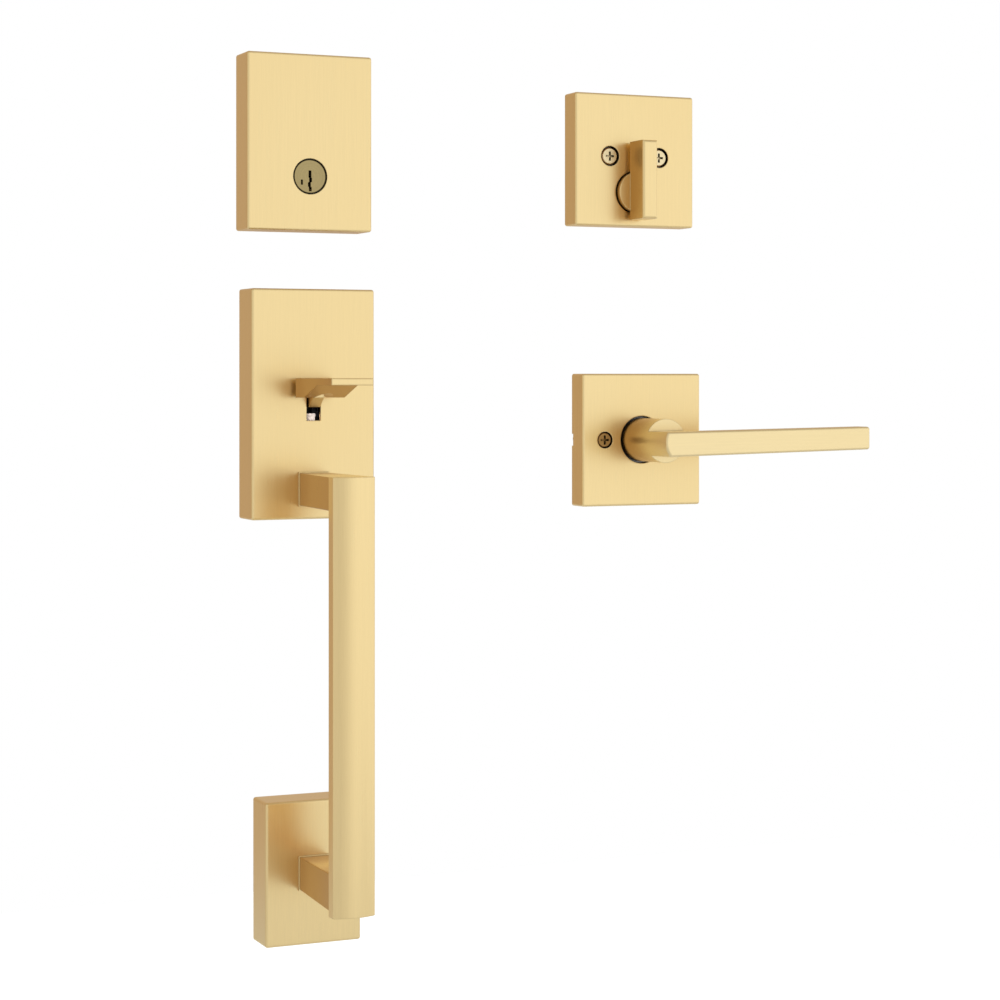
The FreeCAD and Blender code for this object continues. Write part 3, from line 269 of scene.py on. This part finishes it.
class Shader(Nodes):
    """A material's node tree, with what the finishes share."""

    def __init__(self, name):
        self.material = bpy.data.materials.new(name)
        super().__init__(self.material)
        self.output = self.add("ShaderNodeOutputMaterial")

    def object_place(self):
        """Object coordinates, in metres."""
        return self.add("ShaderNodeTexCoord").outputs["Object"]

    def normal_parts(self):
        return self.parts(self.add("ShaderNodeNewGeometry").outputs["Normal"])

    def noise(self, vector, detail=2.0):
        node = self.add("ShaderNodeTexNoise")
        node.inputs["Scale"].default_value = 1.0
        node.inputs["Detail"].default_value = detail
        self.join(vector, node.inputs["Vector"])
        return node.outputs["Fac"]

    def stretched(self, *scale):
        """Object coordinates scaled along each axis, or by one number along all."""
        mapping = self.add("ShaderNodeMapping")
        mapping.inputs["Scale"].default_value = scale if len(scale) == 3 else scale * 3
        self.join(self.object_place(), mapping.inputs["Vector"])
        return mapping.outputs["Vector"]

    def bump(self, height, distance, strength, normal=None):
        node = self.add("ShaderNodeBump")
        if normal:
            self.join(normal, node.inputs["Normal"])
        node.inputs["Distance"].default_value = distance
        node.inputs["Strength"].default_value = strength
        self.join(height, node.inputs["Height"])
        return node.outputs["Normal"]

    def softened(self, radius):
        """The normal as if every sharp edge were rounded to that radius."""
        node = self.add("ShaderNodeBevel", samples=4)
        node.inputs["Radius"].default_value = radius
        return node.outputs[0]

    def edge(self, rounded):
        """One where that rounded normal turns an edge, and zero on the flats."""
        geometry = self.add("ShaderNodeNewGeometry")
        dot = self.add("ShaderNodeVectorMath", operation="DOT_PRODUCT")
        self.join(rounded, dot.inputs[0])
        self.join(geometry.outputs["True Normal"], dot.inputs[1])
        return self.ramp(dot.outputs["Value"], 0.995, 0.90)

    def hidden(self, reach, open_above=0.55, full_below=0.15):
        """Zero in the open, up to one where other surfaces stand within reach: the mask for painted
        shade.
        """
        node = self.add("ShaderNodeAmbientOcclusion", samples=8)
        node.inputs["Distance"].default_value = reach
        return self.ramp(node.outputs["AO"], open_above, full_below)

    def painted_shade(self, colour, factor, shares):
        """The colour darkened as painted shade, by that factor down to shares of its red, green and
        blue.
        """
        return self.blend(factor, colour, (*shares, 1.0), "MULTIPLY")

    def standing(self):
        """Zero where the surface faces the front or the back, and one where it stands across them."""
        return self.ramp(self.math("ABSOLUTE", self.normal_parts()["Y"]), 0.8, 0.35)

    def not_upward(self):
        """Zero where the surface faces up, and one elsewhere."""
        return self.ramp(self.normal_parts()["Z"], 0.8, 0.5)

    def finish(self, metallic, colour, roughness, normal):
        """The surface; returns its node."""
        node = self.add("ShaderNodeBsdfPrincipled")
        node.inputs["Metallic"].default_value = metallic
        self.join(colour, node.inputs["Base Color"])
        self.join(roughness, node.inputs["Roughness"])
        self.join(normal, node.inputs["Normal"])
        self.join(node.outputs[0], self.output.inputs["Surface"])
        return node


def brushed_metal(name, colour, roughness=0.30, along="Z", inner=None, streak=0.02, wear_and_highlight=0.35):
    """Metal with fine brushing along one axis, faint broad patches, and edges brighter, partly from
    rubbing and partly as a painted highlight.

    Painted shade: sides near a plate are darkened to a browner tone, and so are the sides and
    undersides behind the Y that inner gives; tight gaps are darkened too.
    """
    s = Shader(name)
    upright = (BRUSH_ACROSS, BRUSH_ACROSS, BRUSH_LENGTHWISE)
    lying = (BRUSH_LENGTHWISE, BRUSH_ACROSS, BRUSH_ACROSS)
    sides = upright if along == "Z" else lying
    fine_sides = s.noise(s.stretched(*sides), 3.0)
    fine_top = s.noise(s.stretched(*lying), 3.0)
    broad = s.noise(s.stretched(*(scale * 0.22 for scale in sides)))
    top = s.math("GREATER_THAN", s.math("ABSOLUTE", s.normal_parts()["Z"]), 0.75)
    fine = s.add("ShaderNodeMix", data_type="FLOAT")
    for socket, value in ((0, top), (2, fine_sides), (3, fine_top)):
        s.join(value, fine.inputs[socket])
    grain = s.math("ADD", s.math("MULTIPLY", fine.outputs[0], 0.6), s.math("MULTIPLY", broad, 0.4))
    dark, light = scaled(colour, 1 - streak * 1.6), scaled(colour, 1 + streak)
    streaks = s.blend(s.ramp(grain, 0.36, 0.64), dark, light)
    patches = s.ramp(s.noise(s.stretched(*BRUSH_PATCHES)), 0.35, 0.72, 0.0, 0.30)
    patched = s.blend(patches, streaks, scaled(colour, 0.985, 0.955, 0.90))
    rounded = s.softened(BRASS_EDGE)
    # Edges brighter: partly rubbing, partly a painted highlight
    rubbed_and_highlit = s.blend(s.math("MULTIPLY", s.edge(rounded), wear_and_highlight), patched, scaled(colour, 1.10, lift=0.02))
    # Painted shade: sides near other surfaces, and those behind inner, darken to a browner tone
    near = s.hidden(NEAR_REACH, 1.0, 0.78)
    if inner is not None:
        behind = s.math("GREATER_THAN", s.parts(s.object_place())["Y"], inner)
        painted_shade = s.math("MULTIPLY", s.math("MULTIPLY", behind, INNER_SHADE_SHARE), s.not_upward())
        near = s.math("MAXIMUM", near, painted_shade)
    near_shaded = s.painted_shade(rubbed_and_highlit, s.math("MULTIPLY", near, s.standing()), NEAR_SHADE_TONE)
    # Painted shade: colour darkened in tight gaps
    s.finish(
        1.0,
        s.painted_shade(near_shaded, s.hidden(GAP_REACH), GAP_SHADE_TONE),
        s.ramp(grain, 0.3, 0.7, roughness - 0.03, roughness + 0.04),
        s.bump(grain, 0.00002, 0.08, rounded),
    )
    return s.material


def turned_metal(name, colour, roughness, centre, rim):
    """Metal turned about an axis along Y: rings round the centre, and painted shade as a dark line at
    the rim and in recesses.
    """
    s = Shader(name)
    place = s.parts(s.object_place())
    across = s.math("SUBTRACT", place["X"], centre[0])
    up = s.math("SUBTRACT", place["Z"], centre[1])
    squares = s.math("ADD", s.math("MULTIPLY", across, across), s.math("MULTIPLY", up, up))
    radius = s.math("SQRT", squares)
    joined = s.add("ShaderNodeCombineXYZ")
    s.join(s.math("MULTIPLY", radius, RING_ACROSS), joined.inputs["X"])
    s.join(s.math("MULTIPLY", place["Y"], RING_LENGTHWISE), joined.inputs["Y"])
    rings = s.noise(joined.outputs[0], 3.0)
    base = s.blend(s.ramp(rings, 0.35, 0.65), scaled(colour, 0.86), scaled(colour, 1.08))
    specks = s.ramp(s.noise(s.stretched(RING_SPECKS), 3.0), 0.55, 0.75, 0.0, 0.35)
    stained = s.blend(specks, base, scaled(colour, 0.7))
    # Painted shade: a dark line at the rim for the gap round the plug, and darker colour in recesses
    rim_shaded = s.blend(s.ramp(radius, rim - 0.00055, rim - 0.0003), stained, scaled(colour, 0.08))
    s.finish(
        1.0,
        s.painted_shade(rim_shaded, s.hidden(RIM_REACH), RIM_SHADE_TONE),
        s.ramp(rings, 0.3, 0.7, roughness - 0.05, roughness + 0.08),
        s.bump(rings, 0.00003, 0.4),
    )
    return s.material


def plain_metal(name, colour, roughness, grain_scale=1400, mottled=0.12, reach=RECESS_REACH):
    """Plated or cast metal: a fine grain with faint mottling, edges brighter partly from rubbing and
    partly as a painted highlight, and painted shade in recesses.
    """
    s = Shader(name)
    grain = s.noise(s.stretched(grain_scale), 4.0)
    cloud = s.ramp(s.noise(s.stretched(CLOUD_METAL), 3.0), 0.35, 0.7)
    base = s.blend(cloud, scaled(colour, 1 - mottled), scaled(colour, 1 + mottled / 2))
    # Edges brighter: partly rubbing, partly a painted highlight
    worn_and_highlit = s.blend(s.math("MULTIPLY", s.edge(s.softened(PLAIN_EDGE)), 0.5), base, scaled(colour, 1.25))
    # Painted shade: colour darkened in recesses
    s.finish(
        1.0,
        s.painted_shade(worn_and_highlit, s.hidden(reach), RECESS_SHADE_TONE),
        s.ramp(grain, 0.3, 0.7, roughness - 0.06, roughness + 0.10),
        s.bump(grain, 0.00004, 0.3),
    )
    return s.material


def moulded(name, colour, roughness, nose=None):
    """Moulded plastic with a faint grain; only what lies in front of the nose's Y has the colour, and
    behind it the plastic is painted black as shade.
    """
    s = Shader(name)
    grain = s.noise(s.stretched(MOULD_GRAIN), 3.0)
    cloud = s.ramp(s.noise(s.stretched(CLOUD_PLASTIC)), 0.35, 0.7)
    base = s.blend(cloud, scaled(colour, 0.90), colour)
    if nose is not None:
        # Painted shade: behind the nose the plastic is painted black, for the shade in the slot
        base = s.blend(s.math("LESS_THAN", s.parts(s.object_place())["Y"], nose), SLOT_SHADE_BLACK, base)
    surface = s.finish(
        0.0,
        base,
        s.ramp(grain, 0.3, 0.7, roughness - 0.05, roughness + 0.08),
        s.bump(grain, 0.00003, 0.25),
    )
    surface.inputs["Specular IOR Level"].default_value = 0.4
    return s.material


def width(node):
    low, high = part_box(node)
    return high.x - low.x


SLIDER_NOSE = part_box("lift_slider")[0].y + NOSE_LENGTH
MATERIALS = {
    "brass_upright": brushed_metal("brass_upright", BRASS),
    "brass_grip": brushed_metal("brass_grip", BRASS, inner=BAR_BACK),
    "brass_thumb": brushed_metal("brass_thumb", BRASS, inner=WHOLE),
    "brass_level": brushed_metal("brass_level", BRASS_LEVER, along="X"),
    "plug_face": turned_metal("plug_face", PLUG_METAL, 0.34, PLUG_CENTRE, width("key_plug") / 2),
    "screw_bright": plain_metal("screw_bright", SCREW_BRIGHT, 0.26),
    "screw_dull": plain_metal("screw_dull", SCREW_DULL, 0.36),
    "zinc_cast": plain_metal("zinc_cast", ZINC, 0.42, grain_scale=700, mottled=0.2),
    "steel_plated": plain_metal("steel_plated", STEEL, 0.32, reach=CAVITY_REACH),
    "plastic_pale": moulded("plastic_pale", NOSE_PALE, 0.5, SLIDER_NOSE),
    "plastic_dark": moulded("plastic_dark", COUPLER_BLACK, 0.45),
}
USES = {
    "deadbolt_cover": "brass_upright",
    "upper_escutcheon": "brass_upright",
    "lower_escutcheon": "brass_upright",
    "turn_rose": "brass_upright",
    "turn_knob": "brass_upright",
    "lever_rose": "brass_upright",
    "pull_handle": "brass_grip",
    "thumb_piece": "brass_thumb",
    "lever_handle": "brass_level",
    "key_plug": "plug_face",
    "turn_screw_left": "screw_bright",
    "turn_screw_right": "screw_bright",
    "lever_screw_left": "screw_dull",
    "lever_screw_right": "screw_dull",
    "cylinder_housing": "zinc_cast",
    "drive_hub": "zinc_cast",
    "lift_slider": "plastic_pale",
    "turn_coupler": "plastic_dark",
}
for name, node in NODES.items():
    node.data.materials.clear()
    node.data.materials.append(MATERIALS[USES.get(name, "steel_plated")])


def thread_rows(mesh, x, z, start, end, crest, depth, pitch):
    """Adds a threaded rod about a line along Y to a bmesh, from start to end, with closed ends."""
    count = int((end - start) / pitch * THREAD_STEPS)
    rows = []
    for row in range(count + 1):
        y = start + (end - start) * row / count
        fade = min(1.0, (y - start) / pitch, (end - y) / pitch + 0.3)
        ring = []
        for side in range(THREAD_SIDES):
            turn = side / THREAD_SIDES
            ridge = 1 - abs((y / pitch - turn) % 1.0 * 2 - 1)
            radius = crest - depth * (1 - ridge) * fade
            angle = turn * math.tau
            ring.append(mesh.verts.new((x + radius * math.cos(angle), y, z + radius * math.sin(angle))))
        rows.append(ring)
    for low, high in zip(rows, rows[1:]):
        for side in range(THREAD_SIDES):
            other = (side + 1) % THREAD_SIDES
            mesh.faces.new((low[side], low[other], high[other], high[side]))
    mesh.faces.new(list(reversed(rows[-1])))
    mesh.faces.new(rows[0])


def stand_in(node, suffix, data):
    """A piece on the trim body that stands for a CAD node."""
    piece = link(bpy.data.objects.new(node + suffix, data))
    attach(piece, "trim")
    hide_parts(node)
    return piece


def threaded(node, slot, cut, pitch, depth):
    """The node's own form up to cut, and a real thread from there to its end."""
    low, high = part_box(node)
    x = (low.x + high.x) / 2
    z = (low.z + high.z) / 2
    mesh = bmesh.new()
    mesh.from_mesh(NODES[node].data)
    bmesh.ops.remove_doubles(mesh, verts=mesh.verts, dist=1e-7)
    everything = mesh.verts[:] + mesh.edges[:] + mesh.faces[:]
    bmesh.ops.bisect_plane(
        mesh, geom=everything, plane_co=(0, cut, 0), plane_no=(0, 1, 0), clear_outer=True
    )
    rim = [vertex.co for vertex in mesh.verts if abs(vertex.co.y - cut) < 1e-6]
    crest = max(math.hypot(place.x - x, place.z - z) for place in rim)
    thread_rows(mesh, x, z, cut, high.y, crest, depth, pitch)
    data = bpy.data.meshes.new(node + "_threaded")
    mesh.normal_update()
    mesh.to_mesh(data)
    mesh.free()
    data.materials.append(MATERIALS[USES.get(node, "steel_plated")])
    for polygon in data.polygons:
        polygon.use_smooth = False
    stand_in(node, "_threaded", data)


def lifted_spring(node):
    """The spring's own form, copied as a piece on the trim body."""
    piece = stand_in(node, "_live", NODES[node].data.copy())
    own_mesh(piece)


for screw in ("turn_screw_left", "turn_screw_right", "lever_screw_left", "lever_screw_right"):
    threaded(screw, "screw_brass", *SCREW_THREAD)
threaded("lower_stud", "steel", *STUD_THREAD)
lifted_spring("lift_spring")


def make_lamp(name, place, size, power, spread):
    """A square lamp that metal doesn't mirror."""
    data = bpy.data.lights.new(name, "AREA")
    data.spread = math.radians(spread)
    data.shape = "SQUARE"
    data.size = size
    data.energy = power
    lamp = link(bpy.data.objects.new(name, data))
    lamp.location = place
    lamp.visible_glossy = False
    lamp.rotation_euler = (Vector(LAMP_AIM) - Vector(place)).to_track_quat("-Z", "Y").to_euler()


def make_world():
    """White for the camera and through gaps; metal sees SURROUND, and other surfaces a grey sky."""
    made = bpy.data.worlds.new("studio")
    n = Nodes(made)
    output = n.add("ShaderNodeOutputWorld")
    background = n.add("ShaderNodeBackground")
    way = n.parts(n.add("ShaderNodeTexCoord").outputs["Generated"])
    azimuth = n.math("ARCTAN2", way["X"], n.math("MULTIPLY", way["Y"], -1))
    turn = n.ramp(azimuth, -math.pi, math.pi)
    rows = [((degrees + 180) / 360, (white,) * 3, dim) for degrees, white, dim in SURROUND]
    white_share = n.stops(turn, [(place, white) for place, white, dim in rows])
    dim_shade = n.stops(turn, [(place, dim) for place, white, dim in rows])
    path = n.add("ShaderNodeLightPath").outputs
    low, high, share = OVERHEAD
    overhead = n.ramp(way["Z"], low, high, 1.0, share)
    mirrored = n.math("MULTIPLY", n.math("MULTIPLY", path["Is Glossy Ray"], overhead), white_share)
    straight = n.math("MAXIMUM", path["Is Camera Ray"], path["Is Transmission Ray"])
    rest = n.blend(path["Is Glossy Ray"], (DIFFUSE_SKY, DIFFUSE_SKY, DIFFUSE_SKY, 1.0), dim_shade)
    n.join(n.blend(n.math("MAXIMUM", straight, mirrored), rest, WHITE), background.inputs["Color"])
    n.join(background.outputs[0], output.inputs["Surface"])
    bpy.context.scene.world = made


def make_floor():
    """A plain white floor under the set; it keeps the object's shadow."""
    mesh = bmesh.new()
    bmesh.ops.create_grid(mesh, x_segments=1, y_segments=1, size=FLOOR_HALF)
    data = bpy.data.meshes.new("floor")
    mesh.to_mesh(data)
    mesh.free()
    made = link(bpy.data.objects.new("floor", data))
    made.location = (0, 0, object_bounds()[0].z - FLOOR_DROP)
    s = Shader("floor_white")
    diffuse = s.add("ShaderNodeBsdfDiffuse")
    diffuse.inputs["Color"].default_value = (FLOOR_GREY, FLOOR_GREY, FLOOR_GREY, 1.0)
    glow = s.add("ShaderNodeEmission")
    glow.inputs["Color"].default_value = WHITE
    path = s.add("ShaderNodeLightPath").outputs
    straight = s.math("MAXIMUM", path["Is Camera Ray"], path["Is Transmission Ray"])
    mirrored = s.math("MULTIPLY", path["Is Glossy Ray"], FLOOR_MIRRORED)
    s.join(s.math("ADD", s.math("MULTIPLY", straight, FLOOR_SEEN), mirrored), glow.inputs["Strength"])
    both = s.add("ShaderNodeAddShader")
    s.join(diffuse.outputs[0], both.inputs[0])
    s.join(glow.outputs[0], both.inputs[1])
    s.join(both.outputs[0], s.output.inputs["Surface"])
    data.materials.append(s.material)


bpy.context.scene.view_settings.view_transform = "Standard"
make_camera()
make_world()
for name, settings in LAMPS.items():
    make_lamp(name, *settings)
make_floor()
